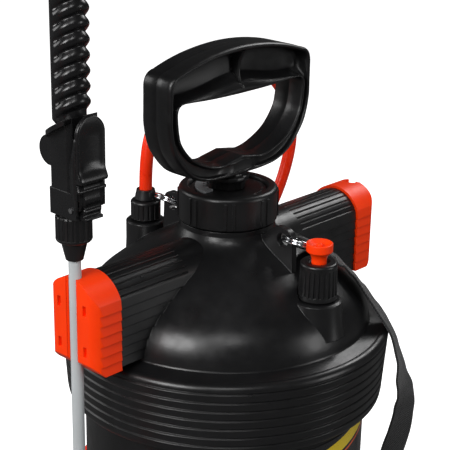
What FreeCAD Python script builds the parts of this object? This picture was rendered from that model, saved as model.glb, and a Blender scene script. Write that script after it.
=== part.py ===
import FreeCAD
import Part
import math
import os

# Pump-up sprayer with a carrying harness, in millimetres. The origin is the middle of the base, on the
# floor. +Z is up, the two side wings lie along X, the relief valve is on -Y and the hose outlet on +Y.

# Tank
BODY_R = 100.0
BRIM_R = 115.0
WALL = 2.5
BRIM_BOTTOM_Z = 250.0
GROOVE_TOP_Z = 300.0
GROOVE_PITCH = 6.5
GROOVES = 7
CREASE_R, CREASE_Z = 101.0, 309.0
NECK_R = 29.5
NECK_RING_R = 33.0
NECK_TOP_Z = 393.0
DOME = [(CREASE_R, CREASE_Z), (98.5, 320), (92.5, 330), (83, 338.5), (70, 348.5), (55, 357.5), (43, 364),
        (35.5, 369.5), (NECK_RING_R, 374)]

# Wings and the clip caps on their ends
WING_HALF = 21.0
WING_Z0, WING_SHOULDER_Z, WING_CREST_Z = 311.0, 357.0, 370.5
WING_END_X = 119.0
CAP_OUT_X = 141.0
CAP_HALF = 22.6
BOARDS = 7
LANCE_X = -137.5
CLIP_R = 4.2

# Fittings that stand on the dome
VALVE_Y = -82.0
OUTLET_Y = 82.0
LUG_Y = 52.0
EYE_Z = 375.0
EYE_R = 4.8

# Pump
NUT_R = 34.0
NUT_Z0, NUT_Z1 = 378.3, 401.5
CYLINDER_R, CYLINDER_BORE = 21.0, 19.0
CYLINDER_Z0 = 150.0
ROD_R = 5.0
STEM_R = 12.0
GRIP_TOP_Z = 499.5
GRIP_HALF = 68.3
GRIP_DEPTH = 27.0

# Lance and hose
TUBE_R = 4.0
HOSE_R = 4.75
VALVE_Z0 = 404.0
RIB_TILT = 30.0
RIB_PITCH = 9.27
GUARD_Z, GUARD_THICK = 471.8, 2.8
GRIP_R = 10.8
TRIGGER_PIN_Y, TRIGGER_PIN_Z = -10.0, 420.5

# Harness
WEB_WIDE, WEB_THICK = 20.0, 1.6
LOW_BAR_Z = 42.0
LOW_BAR_R = 115.5
STRAP = [(21, -57, 366), (37, -55, 358), (48, -62, 348.5), (51, -71, 341.5), (52, -80, 334), (56, -88, 322),
         (64, -95, 306), (74, -97, 284), (84, -95, 260), (89, -96, 246), (89, -96, 232), (88, -94, 214),
         (85, -91, 196), (83.5, -87.5, 172), (82, -84, 148), (81.67, -81.67, 122), (81.67, -81.67, 90),
         (81.67, -81.67, 53)]
STRAP_TWIST = [0, 0, 0, 0, 0, 0, 0, 0, 10, 30, 55, 75, 85, 60, 25, 0, 0, 0]
SLIDER_Z = 62.0

# The hose's route, from the outlet, round behind the tank and up to the end of the lance's grip
HOSE = [(0, 82, 378), (0, 82, 402), (8.5, 82, 427), (30, 82, 448), (64, 82, 460), (102, 82, 458),
        (134.5, 82, 443),
        (156, 81, 417), (162, 80, 386), (154, 81, 354), (141, 85, 324), (129, 96, 292), (117, 111, 258),
        (97, 127, 224), (66, 140, 190), (30, 148, 158), (-8, 149, 130), (-46, 140, 109), (-82, 122, 97),
        (-117, 98, 93), (-150, 70, 98), (-181, 42, 113), (-208, 18, 138), (-229, 3, 171), (-243, -6, 210),
        (-250, -9, 254), (-254, -11, 302), (-257, -11.5, 350), (-259, -10.5, 398), (-260, -8.5, 446),
        (-260, -6, 494), (-259, -3, 540), (-257, 0, 583), (-249, 0, 617), (-228, 0, 640), (-197.5, 0, 649),
        (-167, 0, 641), (-145.5, 0, 619), (LANCE_X, 0, 590.0)]
GRIP_END_Z = 566.0

os.makedirs("parts", exist_ok=True)


def vec(x, y, z):
    return FreeCAD.Vector(x, y, z)


def save(node, shape):
    """Writes one sub-part, and says so if it isn't a sound solid."""
    if not shape.isValid() or not shape.Solids:
        print("UNSOUND", node)
    print(f"{node:24s} {len(shape.Solids)} solid  {shape.Volume / 1000:9.2f} cm3")
    shape.exportStep(f"parts/{node}.step")


def cylinder(x, y, z0, z1, r):
    return Part.makeCylinder(r, z1 - z0, vec(x, y, z0))


def pipe(x, y, z0, z1, outer, inner):
    return cylinder(x, y, z0, z1, outer).cut(cylinder(x, y, z0 - 1, z1 + 1, inner))


def box(x0, x1, y0, y1, z0, z1):
    return Part.makeBox(x1 - x0, y1 - y0, z1 - z0, vec(x0, y0, z0))


def union(shapes):
    return shapes[0].multiFuse(shapes[1:]).removeSplitter()


def outline(steps, place):
    """A closed wire. A step is a point, a list of points for a curve, or (middle, end) for an arc."""
    edges = []
    here = place(*steps[0])
    first = here
    for step in steps[1:]:
        if isinstance(step, list):
            points = [here] + [place(*p) for p in step]
            curve = Part.BSplineCurve()
            curve.interpolate(points)
            edges.append(curve.toShape())
            here = points[-1]
        elif isinstance(step[0], tuple):
            end = place(*step[1])
            edges.append(Part.Arc(here, place(*step[0]), end).toShape())
            here = end
        else:
            end = place(*step)
            edges.append(Part.LineSegment(here, end).toShape())
            here = end
    if here.distanceToPoint(first) > 1e-6:
        edges.append(Part.LineSegment(here, first).toShape())
    return Part.Wire(edges)


def lathe(steps, x=0.0, y=0.0):
    """A solid turned about the vertical line through (x, y), from steps of (radius, height)."""
    face = Part.Face(outline(steps, lambda r, z: vec(r, 0, z)))
    solid = face.revolve(vec(0, 0, 0), vec(0, 0, 1), 360)
    solid.translate(vec(x, y, 0))
    return solid


def spin(shape, count, x=0.0, y=0.0, start=0.0, sweep=360.0):
    """Copies of a shape, turned evenly about the vertical line through (x, y)."""
    copies = []
    for i in range(count):
        copy = shape.copy()
        copy.rotate(vec(x, y, 0), vec(0, 0, 1), start + sweep * i / count)
        copies.append(copy)
    return Part.makeCompound(copies)


def fluted(shape, count, x, y, r, z0, z1, groove=0.9):
    """Cuts upright finger grooves round a nut."""
    cutter = cylinder(x + r + groove * 0.35, y, z0, z1, groove)
    return shape.cut(spin(cutter, count, x, y))


# ---------------------------------------------------------------- tank

def brim_steps():
    """The ribbed brim, from its underside to the crease below the dome."""
    steps = [(BODY_R, BRIM_BOTTOM_Z - 4), ((BODY_R + 2, BRIM_BOTTOM_Z), (BODY_R + 6, BRIM_BOTTOM_Z + 1.5)),
             ((BRIM_R - 5, BRIM_BOTTOM_Z + 3), (BRIM_R - 3, BRIM_BOTTOM_Z + 7))]
    for i in reversed(range(GROOVES)):
        z = GROOVE_TOP_Z - i * GROOVE_PITCH
        r = BRIM_R - 3 * (GROOVE_TOP_Z - z) / (GROOVE_PITCH * GROOVES)
        steps += [(r, z - 1.2), (r - 1.3, z), (r, z + 0.6)]
    steps += [((BRIM_R - 1.2, GROOVE_TOP_Z + 4), (BRIM_R - 5, GROOVE_TOP_Z + 5.5)),
              (CREASE_R + 0.5, CREASE_Z - 1),
              (CREASE_R, CREASE_Z)]
    return steps


def tank_outside():
    steps = [(0, 28), [(40, 26), (66, 19)], (72, 17.5), (86, 17.5), ((96, 21.5), (BODY_R, 31))]
    steps += brim_steps() + [DOME[1:], (NECK_RING_R, 377.5), (NECK_R, 377.5), (NECK_R, NECK_TOP_Z),
                             (0, NECK_TOP_Z)]
    return lathe(steps)


def tank_inside():
    inner = [(r - 1.7, z - 2.0) for r, z in DOME[1:-2]]
    steps = [(0, 31), [(40, 29), (66, 21.8)], (72, 20.2), (85.5, 20.2), ((93.8, 23.5), (BODY_R - WALL,
                                                                                        31.5)),
             (BODY_R - WALL, 249), (104, 255), (BRIM_R - 6.2, 260), (BRIM_R - 4.2, 298), (BRIM_R - 8, 301.6),
             (CREASE_R - 2.2, 305.2), (CREASE_R - 2.4, CREASE_Z), inner, (25.5, 370), (25.5, NECK_TOP_Z + 1),
             (0, NECK_TOP_Z + 1)]
    return lathe(steps)


def wing_section(half, z0, shoulder, crest, boards, step):
    """The end view of a wing: weatherboard sides below a rounded top."""
    rise = (shoulder - z0) / boards
    right = []
    for i in range(boards):
        right += [(half, z0 + i * rise), (half - step, z0 + (i + 1) * rise)]
    left = [(-y, z) for y, z in reversed(right)]
    return right + [((0.0, crest), left[0])] + left[1:]


def wing_bar(x0, x1, half, z0, shoulder, crest, boards=1, step=0.0):
    if step == 0.0:
        steps = [(half, z0), (half, shoulder), ((0.0, crest), (-half, shoulder)), (-half, z0)]
    else:
        steps = wing_section(half, z0, shoulder, crest, boards, step)
    face = Part.Face(outline(steps, lambda y, z: vec(x0, y, z)))
    return face.extrude(vec(x1 - x0, 0, 0))


def strap_lug(side):
    """The fin that holds a carrying ring, beside the neck."""
    points = [(28, 366), (28, 371), (40, 378), ((46, EYE_Z + 8), (LUG_Y, EYE_Z + 8)),
              ((60, EYE_Z + 4), (60.5, EYE_Z)),
              (61.5, 352), (40, 352)]
    face = Part.Face(outline(points, lambda y, z: vec(-2.2, side * y, z)))
    eye = Part.makeCylinder(EYE_R, 20, vec(-10, side * LUG_Y, EYE_Z), vec(1, 0, 0))
    return face.extrude(vec(4.4, 0, 0)), eye


def make_tank():
    wing = (WING_HALF, WING_Z0, WING_SHOULDER_Z, WING_CREST_Z)
    outside = [tank_outside(), wing_bar(-WING_END_X, WING_END_X, *wing, BOARDS, 0.9)]
    outside.append(wing_bar(-127, 127, WING_HALF - 5, WING_Z0 + 4, WING_SHOULDER_Z - 3, WING_CREST_Z - 5))
    valve_boss = lathe([(0, 318), (19.5, 318), [(17.4, 330), (16.4, 341)], (14.8, 342), (9.5, 342),
                        (9.5, 350),
                        (0, 350)], 0, VALVE_Y)
    outlet_boss = lathe([(0, 318), (15.5, 318), (14.5, 340), (14.5, 354), (13.5, 355), (0, 355)], 0,
                        OUTLET_Y)
    outside += [valve_boss, outlet_boss]
    seat = pipe(0, VALVE_Y, 342, 360, 13.4, 9.5)
    eyes = []
    for side in (-1, 1):
        fin, eye = strap_lug(side)
        outside.append(fin)
        eyes.append(eye)
    inside = [tank_inside().cut(cylinder(0, VALVE_Y, 328, 360, 16))]
    for end in (-1, 1):
        hollow = wing_bar(60, WING_END_X - 4, WING_HALF - 3.4, WING_Z0 + WALL, WING_SHOULDER_Z - 1.5,
                          WING_CREST_Z - 3)
        if end < 0:
            hollow.rotate(vec(0, 0, 0), vec(0, 0, 1), 180)
        inside.append(hollow)
    holes = eyes + [seat, cylinder(0, VALVE_Y, 320, 351, 3.2), cylinder(0, OUTLET_Y, 320, 356, TUBE_R)]
    tank = union(outside).cut(union(inside))
    return tank.cut(Part.makeCompound(holes))


def low_lug(side):
    """Two ears and a bar on the base, which hold the low end of a strap."""
    ears = [box(104, 121, -16.5, -12.5, LOW_BAR_Z - 8, LOW_BAR_Z + 6),
            box(104, 121, 12.5, 16.5, LOW_BAR_Z - 8, LOW_BAR_Z + 6)]
    bar = Part.makeCylinder(2.6, 29, vec(LOW_BAR_R, -14.5, LOW_BAR_Z), vec(0, 1, 0))
    lug = Part.makeCompound(ears + [bar])
    lug.rotate(vec(0, 0, 0), vec(0, 0, 1), 45 * side)
    return lug.Solids


def make_base():
    """The foot dish, which stands on the floor and holds the round bottom of the tank."""
    dish = lathe([(0, 0), (107, 0), (108, 1.5), (108, 12), (106, 16), (105, 50), (103.5, 53), (100.3, 53),
                  (100.3, 31), ((96.3, 21.2), (86, 17.1)), (72, 17.1), (70, 15.5), (70, 4), (0, 4)])
    return union([dish] + low_lug(-1) + low_lug(1))


def make_label():
    """A thin printed sleeve on the front of the body, to the right of the relief valve."""
    band = pipe(0, 0, 118, 243, BODY_R + 0.5, BODY_R + 0.1)
    wedge = Part.makeCylinder(130, 140, vec(0, 0, 110), vec(0, 0, 1), 64)
    wedge.rotate(vec(0, 0, 0), vec(0, 0, 1), -102)
    return band.common(wedge)


# ---------------------------------------------------------------- clip caps

def make_cap(side):
    """An end cap with two lobes and an upright slot that a lance tube snaps into."""
    body = wing_bar(WING_END_X + 0.2, CAP_OUT_X, CAP_HALF, WING_Z0 - 1.5, WING_SHOULDER_Z + 1,
                    WING_CREST_Z + 1.8,
                    BOARDS, 0.9)
    plan = outline([(WING_END_X - 5, -CAP_HALF - 2), (CAP_OUT_X - 8, -CAP_HALF),
                    ((CAP_OUT_X - 2.3, -CAP_HALF + 2.3),
                   (CAP_OUT_X, -CAP_HALF + 8)), (CAP_OUT_X, CAP_HALF - 8),
                   ((CAP_OUT_X - 2.3, CAP_HALF - 2.3),
                   (CAP_OUT_X - 8, CAP_HALF)), (WING_END_X - 5, CAP_HALF + 2)], lambda x, y: vec(x, y, 300))
    body = body.common(Part.Face(plan).extrude(vec(0, 0, 90)))
    chamfer = outline([(CAP_OUT_X + 1, 300), (CAP_OUT_X + 1, 318), (CAP_OUT_X - 8, 309),
                       (CAP_OUT_X - 8, 300)],
                      lambda x, z: vec(x, -40, z))
    clip_x = abs(LANCE_X)
    cuts = [Part.Face(chamfer).extrude(vec(0, 80, 0)), cylinder(clip_x, 0, 300, 390, CLIP_R),
            box(clip_x, CAP_OUT_X + 5, -3.7, 3.7, 300, 390),
            box(clip_x + 2.6, CAP_OUT_X + 5, -5.2, 5.2, 300, 390),
            wing_bar(WING_END_X - 1, 127.2, WING_HALF - 4.9, WING_Z0 + 3.9, WING_SHOULDER_Z - 2.9,
                     WING_CREST_Z - 4.9)]
    for y in (-13.5, 10.5):
        for z in (322, 350):
            cuts.append(box(CAP_OUT_X - 2.5, CAP_OUT_X + 5, y, y + 3, z, z + 7))
    cap = body.cut(Part.makeCompound(cuts))
    if side < 0:
        cap.rotate(vec(0, 0, 0), vec(0, 0, 1), 180)
    return cap


# ---------------------------------------------------------------- pump

def make_nut():
    nut = lathe([(29.9, NUT_Z0), (NUT_R - 0.8, NUT_Z0), (NUT_R, NUT_Z0 + 0.8), (NUT_R, NUT_Z1 - 3.2),
                 ((NUT_R - 0.9, NUT_Z1 - 0.9), (NUT_R - 3.2, NUT_Z1)), (28.2, NUT_Z1), (27, NUT_Z1 - 1.2),
                 (27, 397.6),
                 (29.9, 397.6)])
    ribs = []
    for i in range(8):
        for offset in (-4.6, 4.6):
            rib = box(NUT_R - 1, NUT_R + 0.8, -0.9, 0.9, NUT_Z0 + 1.5, NUT_Z1 - 3.5)
            rib.rotate(vec(0, 0, 0), vec(0, 0, 1), 45 * i + offset)
            ribs.append(rib)
    return union([nut] + ribs)


def make_pump_cylinder():
    """The barrel that hangs in the tank from a flange clamped by the nut."""
    barrel = lathe([(CYLINDER_BORE, 153), (3, 153), (3, CYLINDER_Z0), (17, CYLINDER_Z0),
                    (CYLINDER_R, CYLINDER_Z0 + 5),
                    (CYLINDER_R, 394.4), (29.2, 394.4), (29.2, 397.2), (CYLINDER_BORE, 397.2)])
    ports = spin(cylinder(7.0, 0, CYLINDER_Z0 - 2, 155, 1.5), 6)
    return barrel.cut(ports)


def make_guide():
    """The bush in the top of the barrel that the rod slides through."""
    return lathe([(ROD_R + 0.06, 384), (CYLINDER_BORE - 0.02, 384), (CYLINDER_BORE - 0.02, 397.3),
                  (26.2, 397.3),
                  (26.2, 398.6), (23.4, 398.6), (23.4, 399.3), (ROD_R + 0.06, 399.3)])


def make_lock_tab():
    """A notched segment beside the stem."""
    ring = pipe(0, 0, 399.4, 401.0, 22.6, 15.0)
    wedge = Part.makeCylinder(30, 5, vec(0, 0, 398), vec(0, 0, 1), 84)
    wedge.rotate(vec(0, 0, 0), vec(0, 0, 1), 96)
    notches = spin(box(14, 17.2, -1.1, 1.1, 398, 402), 4, start=108, sweep=80)
    return ring.common(wedge).cut(notches)


def make_piston():
    return lathe([(0, 158), (17, 158), (18.4, 159.4), (18.4, 163), (15.6, 163), (15.6, 168), (18.4, 168),
                  (18.4, 172),
                  (ROD_R + 0.05, 172), (ROD_R + 0.05, 161.6), (0, 161.6)])


def d_outline(extra=0.0):
    """The outside of the D grip, seen from the front."""
    w, top = GRIP_HALF, GRIP_TOP_Z
    right = [(w, 455), (w - 6.4, 433.5), (w - 18, 420.5), (w - 32, 413.4), (14, 411.2)]
    left = [(-x, z) for x, z in reversed(right)]
    return [(-w, 455), (-w, 478), ((-w + 2.2, 485), (-w + 8, 488.5)), ((0, top), (w - 8, 488.5)),
            ((w - 2.2, 485), (w, 478)), (w, 455), right[1:], left[0], left[1:]]


def d_opening():
    right = [(60.5, 461), (56.6, 443), (46.5, 431.5), (32, 424), (15, 421)]
    left = [(-x, z) for x, z in reversed(right)]
    return [(-60.5, 461), ((-59.5, 467), (-54, 469)), ((0, 466.8), (54, 469)), ((59.5, 467), (60.5, 461)),
            right[1:],
            ((0, 424.5), left[0]), left[1:]]


def make_handle():
    """The D grip: an I-section with pockets front and back, on a round stem."""
    flat = lambda x, z: vec(x, -GRIP_DEPTH / 2, z)
    solid = Part.Face(outline(d_outline(), flat)).extrude(vec(0, GRIP_DEPTH, 0))
    hole = Part.Face(outline(d_opening(), flat)).extrude(vec(0, GRIP_DEPTH, 0))
    stem = lathe([(0, 399.7), (STEM_R - 0.6, 399.7), (STEM_R, 400.3), (STEM_R, 405.5), (14.2, 406),
                  (14.2, 409),
                  (STEM_R, 410), (STEM_R, 421), (0, 421)])
    grip = union([solid, stem]).cut(hole)
    pocket_steps = [(-56, 473.5), (-63.8, 474), (-63.8, 478), ((-62, 482.5), (-58, 484.6)),
                    ((0, 493.6), (58, 484.6)),
                    ((62, 482.5), (63.8, 478)), (63.8, 474), (56, 473.5), ((0, 471.6), (-56, 473.5))]
    groove = [[(66.2, 470), (66.2, 455), (59.8, 434.5), (48.9, 422.3), (35.4, 415.9)],
              [(34.4, 418.8), (47.3, 425.2), (57.7, 436.3), (63.5, 456), (63.5, 470)]]
    cuts = []
    for y0 in (-GRIP_DEPTH / 2 - 1, 2.0):
        deep = GRIP_DEPTH / 2 - 1
        pocket = Part.Face(outline(pocket_steps, lambda x, z: vec(x, y0, z))).extrude(vec(0, deep, 0))
        cuts.append(pocket.cut(box(-1.3, 1.3, -20, 20, 460, 500)))
        for side in (-1, 1):
            place = lambda x, z: vec(side * x, y0, z)
            steps = [groove[0][0], groove[0][1:], groove[1][0], groove[1][1:]]
            cuts.append(Part.Face(outline(steps, place)).extrude(vec(0, deep, 0)))
    grip = grip.cut(Part.makeCompound(cuts))
    return grip.cut(cylinder(0, 0, 390, 417, ROD_R)).cut(Part.makeCylinder(1.5, 30, vec(0, -15, 403),
                                                                           vec(0, 1, 0)))


def make_rod():
    rod = cylinder(0, 0, 162, 417, ROD_R)
    return rod.cut(Part.makeCylinder(1.5, 30, vec(0, -15, 403), vec(0, 1, 0)))


def make_air_valve():
    """The rubber flap under the barrel, held by a headed stalk through its floor."""
    return lathe([(0, 147), (9, 147), (9, 149.6), (2.6, 149.6), (2.6, 154.9), (4.6, 155.1), (2.2, 156.8),
                  (0, 156.8)])


# ---------------------------------------------------------------- relief valve and outlet

def make_relief_cap():
    cap = lathe([(9.8, 343), (12.8, 343), (12.8, 345.5), (12.3, 365.5), ((11.8, 367.6), (10, 368)),
                 (7.5, 368),
                 (6.6, 366.6), (5.06, 366.6), (5.06, 363.4), (7.4, 363.4), (7.4, 350.4), (9.8, 350.4)], 0,
                 VALVE_Y)
    return fluted(cap, 24, 0, VALVE_Y, 12.3, 346, 364)


def make_relief_knob():
    return lathe([(0, 352.8), (5.6, 352.8), (5.6, 353.8), (2.2, 353.8), (2.2, 363), (5.0, 363), (5.0, 369),
                  ((5.9, 372.4), (8.4, 375)), (8.8, 375.6), (8.8, 380.4), ((8.1, 380.9), (7.4, 380.6)),
                  (5.0, 378.5),
                  (2.2, 378.1), (1.9, 379.6), (1.2, 380.3), (0, 380.4)], 0, VALVE_Y)


def make_outlet_connector():
    """The threaded stub on the outlet boss, and the tapered ferrule round the hose."""
    return lathe([(2.5, 355.1), (8.6, 355.1), (8.6, 362), (6.0, 362.2), (6.0, 370.6), (8.2, 370.9),
                  (8.0, 372),
                  (6.7, 378), (2.5, 378)], 0, OUTLET_Y)


def make_outlet_nut():
    nut = lathe([(9.0, 356), (10.6, 356), (11, 356.6), (11, 367.5), ((10.5, 369.6), (9.2, 370.3)),
                 (6.3, 370.3),
                 (6.3, 362.8), (9.0, 362.6)], 0, OUTLET_Y)
    return fluted(nut, 18, 0, OUTLET_Y, 11, 357, 368)


# ---------------------------------------------------------------- lance

def slant(z, low, high):
    """A slab that leans with the ribs of the grip, high at the front, from low to high off a plane at z."""
    slab = box(-30, 30, -120, 120, low, high)
    slab.rotate(vec(0, 0, 0), vec(1, 0, 0), -RIB_TILT)
    slab.translate(vec(LANCE_X, 0, z))
    return slab


def make_valve_body():
    x = LANCE_X
    thread = cylinder(x, 0, VALVE_Z0, 416, 9.3)
    lower = box(x - 10, x + 10, -14, 10.5, 414.6, 431).common(cylinder(x, -2, 414, 432, 15.5))
    trunk = box(x - 9.8, x + 9.8, -9.0, 11.2, 414.6, 480).common(cylinder(x, 1, 414, 481, 12.2))
    hump = Part.makeCylinder(9.6, 15, vec(x - 7.5, 12, 453), vec(1, 0, 0)).common(box(x - 9, x + 9, 0, 30,
                                                                                      440, 465))
    guard = cylinder(x, 0, 440, 500, 15.5).common(box(x - 20, x + 20, -8.6, 20, 440, 500))
    flange = slant(GUARD_Z, -GUARD_THICK, 0).common(guard)
    above = slant(GUARD_Z - 0.3, 0, 60)
    body = union([thread, lower, trunk.cut(above), hump, flange])
    cuts = [box(x - 7.2, x + 7.2, -20, -4.2, 410, 440), cylinder(x, 0, 400, 480, 2.6),
            Part.makeCylinder(1.6, 30, vec(x - 15, TRIGGER_PIN_Y, TRIGGER_PIN_Z), vec(1, 0, 0)),
            Part.makeCylinder(2.05, 20, vec(x, -12, 443), vec(0, 1, 0)),
            Part.makeCylinder(3.6, 17, vec(x, -2.2, 443), vec(0, 1, 0))]
    return body.cut(Part.makeCompound(cuts))


def make_grip():
    """The hand grip: smooth at the back, with slanting finger ribs at the front."""
    x = LANCE_X
    round_bar = cylinder(x, 0, 455, GRIP_END_Z, GRIP_R)
    core = cylinder(x, 0, 455, GRIP_END_Z, GRIP_R - 2.0)
    back = round_bar.common(box(x - 20, x + 20, 1.5, 20, 455, GRIP_END_Z))
    pieces = [core, back, cylinder(x, 0, GRIP_END_Z - 4, GRIP_END_Z, GRIP_R)]
    for i in range(9):
        pieces.append(slant(478.5 + RIB_PITCH * i, 0, 4.4).common(round_bar))
    below = slant(GUARD_Z, -90, 0)
    return union(pieces).cut(below).cut(cylinder(x, 0, 450, GRIP_END_Z + 1, 2.6))


def make_trigger():
    """The lever: a paddle along the grip on a block that turns on the pin."""
    x = LANCE_X
    plate = outline([(-10.5, 437), (-10.5, 468), ((0, 478.5), (10.5, 468)), (10.5, 437)],
                    lambda a, z: vec(x + a, -18.2, z))
    paddle = Part.Face(plate).extrude(vec(0, 3.6, 0))
    lip = box(x - 10.5, x + 10.5, -20.5, -14.6, 433.4, 438)
    block = box(x - 6.9, x + 6.9, -19.4, -6.8, 414.8, 436)
    notches = [box(x - 8, x + 8, -20, -18, 417.5, 420), box(x - 8, x + 8, -20, -18, 423, 427)]
    pin = Part.makeCylinder(1.66, 30, vec(x - 15, TRIGGER_PIN_Y, TRIGGER_PIN_Z), vec(1, 0, 0))
    under = box(x - 8, x + 8, -14.6, -3, 434, 440)
    return union([paddle, lip, block.cut(under)]).cut(Part.makeCompound(notches + [pin]))


def make_plunger():
    stalk = Part.makeCylinder(2.0, 12.4, vec(LANCE_X, -14.3, 443), vec(0, 1, 0))
    head = Part.makeCylinder(3.5, 2.0, vec(LANCE_X, -1.9, 443), vec(0, 1, 0))
    return union([stalk, head])


def make_plunger_spring():
    ring = Part.makeCylinder(3.2, 10.4, vec(LANCE_X, 4.0, 443), vec(0, 1, 0))
    return ring.cut(Part.makeCylinder(2.2, 20, vec(LANCE_X, 0, 443), vec(0, 1, 0)))


def make_lance_nut():
    nut = lathe([(7.4, 396.4), (9.3, 396.4), ((10.9, 397.2), (11.4, 399.2)), (11.4, 412.6), (10.9, 413.6),
                 (9.4, 413.6), (9.4, 403.4), (7.4, 403.4)], LANCE_X)
    return fluted(nut, 22, LANCE_X, 0, 11.4, 399, 414)


def make_gland():
    return lathe([(TUBE_R, 384.4), (5.6, 384.4), (8.2, 395.6), (7.1, 396.0), (7.1, 403), (TUBE_R, 403)],
                 LANCE_X)


def make_nozzle_body():
    return lathe([(1.2, 18), (4.6, 18), (4.6, 30), (7, 31), (7, 40), (5.2, 44), (TUBE_R, 44), (TUBE_R, 34),
                  (1.2, 34)], LANCE_X)


def make_nozzle_cap():
    cap = lathe([(1.0, 10), (6.5, 10), (8, 12), (8, 29.5), (4.7, 29.5), (4.7, 17.6), (1.0, 16)], LANCE_X)
    return fluted(cap, 16, LANCE_X, 0, 8, 13, 30)


# ---------------------------------------------------------------- soft parts

def hose_path(points, radii):
    """Straight runs joined by arcs, each as large as its two runs allow."""
    points = [vec(*p) for p in points]
    edges = []
    here = points[0]
    for before, corner, after in zip(points, points[1:], points[2:]):
        back, ahead = before - corner, after - corner
        run = min(back.Length, ahead.Length) * 0.45
        half = (math.pi - back.getAngle(ahead)) / 2
        radii.append(run / math.tan(half))
        back.normalize()
        ahead.normalize()
        start, end = corner + back * run, corner + ahead * run
        inward = back + ahead
        inward.normalize()
        middle = corner + inward * (radii[-1] / math.cos(half) - radii[-1])
        edges.append(Part.LineSegment(here, start).toShape())
        edges.append(Part.Arc(start, middle, end).toShape())
        here = end
    edges.append(Part.LineSegment(here, points[-1]).toShape())
    return Part.Wire(edges)


def make_hose():
    radii = []
    path = hose_path(HOSE, radii)
    circle = Part.Wire(Part.makeCircle(HOSE_R, vec(*HOSE[0]), vec(0, 0, 1)))
    hose = path.makePipeShell([circle], True, True)
    share = hose.Volume / (math.pi * HOSE_R ** 2 * path.Length)
    print(f"hose length {path.Length:.0f} mm, volume against section times length {share:.4f}")
    print("hose radii", [round(r) for r in radii], "smallest", round(min(radii), 1))
    return hose


def ribbon(points, twists, lift):
    """A strap: rectangular sections along a line, each turned by its own twist."""
    spots = [vec(*p) for p in points]
    wires = []
    for i, spot in enumerate(spots):
        along = spots[min(i + 1, len(spots) - 1)] - spots[max(i - 1, 0)]
        along.normalize()
        outward = vec(spot.x, spot.y, lift)
        outward = outward - along * outward.dot(along)
        outward.normalize()
        across = along.cross(outward)
        turn = math.radians(twists[i])
        wide = across * math.cos(turn) + outward * math.sin(turn)
        thin = along.cross(wide)
        w, t = wide * (WEB_WIDE / 2), thin * (WEB_THICK / 2)
        wires.append(Part.makePolygon([spot + w + t, spot - w + t, spot - w - t, spot + w - t,
                                       spot + w + t]))
    return Part.makeLoft(wires, True, True)


def mirror_y(shape):
    return shape.mirror(vec(0, 0, 0), vec(0, 1, 0))


def make_strap():
    """The front strap, with the loop that holds the low bar."""
    web = ribbon(STRAP, STRAP_TWIST, 40.0)
    loop = Part.makeCylinder(5.4, WEB_WIDE, vec(LOW_BAR_R, -WEB_WIDE / 2, LOW_BAR_Z), vec(0, 1, 0))
    neck = box(LOW_BAR_R - 0.8, LOW_BAR_R + 0.8, -WEB_WIDE / 2, WEB_WIDE / 2, LOW_BAR_Z, 53)
    hole = Part.makeCylinder(3.8, WEB_WIDE + 2, vec(LOW_BAR_R, -WEB_WIDE / 2 - 1, LOW_BAR_Z), vec(0, 1, 0))
    end = union([loop, neck]).cut(hole)
    end.rotate(vec(0, 0, 0), vec(0, 0, 1), -45)
    return union([web, end])


def make_ring():
    """The wire ring through a lug, leaning down towards the strap."""
    ring = Part.makeTorus(12, 1.2, vec(0, 0, 0), vec(0, 0, 1))
    second = Part.makeTorus(12, 1.2, vec(0, 0, 2.1), vec(0, 0, 1))
    both = Part.makeCompound([ring, second])
    both.rotate(vec(0, 0, 0), vec(0, 1, 0), 24)
    both.translate(vec(5.5, -61, 372))
    return both


def make_adjuster():
    """The slider on a strap: a frame with two bars behind the strap and one in front."""
    z0, z1 = SLIDER_Z, SLIDER_Z + 24
    spot = LOW_BAR_R
    frame = box(spot - 3.6, spot + 3.6, -14, 14, z0, z1).cut(box(spot - 9, spot + 9, -10.8, 10.8, z0 - 1,
                                                                 z1 + 1))
    bars = [box(spot - 3.6, spot - 1.5, -14, 14, z0, z0 + 4), box(spot - 3.6, spot - 1.5, -14, 14, z1 - 4,
                                                                  z1),
            box(spot + 1.5, spot + 3.6, -14, 14, z0 + 9, z0 + 15)]
    slider = union(frame.Solids + bars)
    slider.rotate(vec(0, 0, 0), vec(0, 0, 1), -45)
    return slider


# ---------------------------------------------------------------- the whole object

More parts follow.
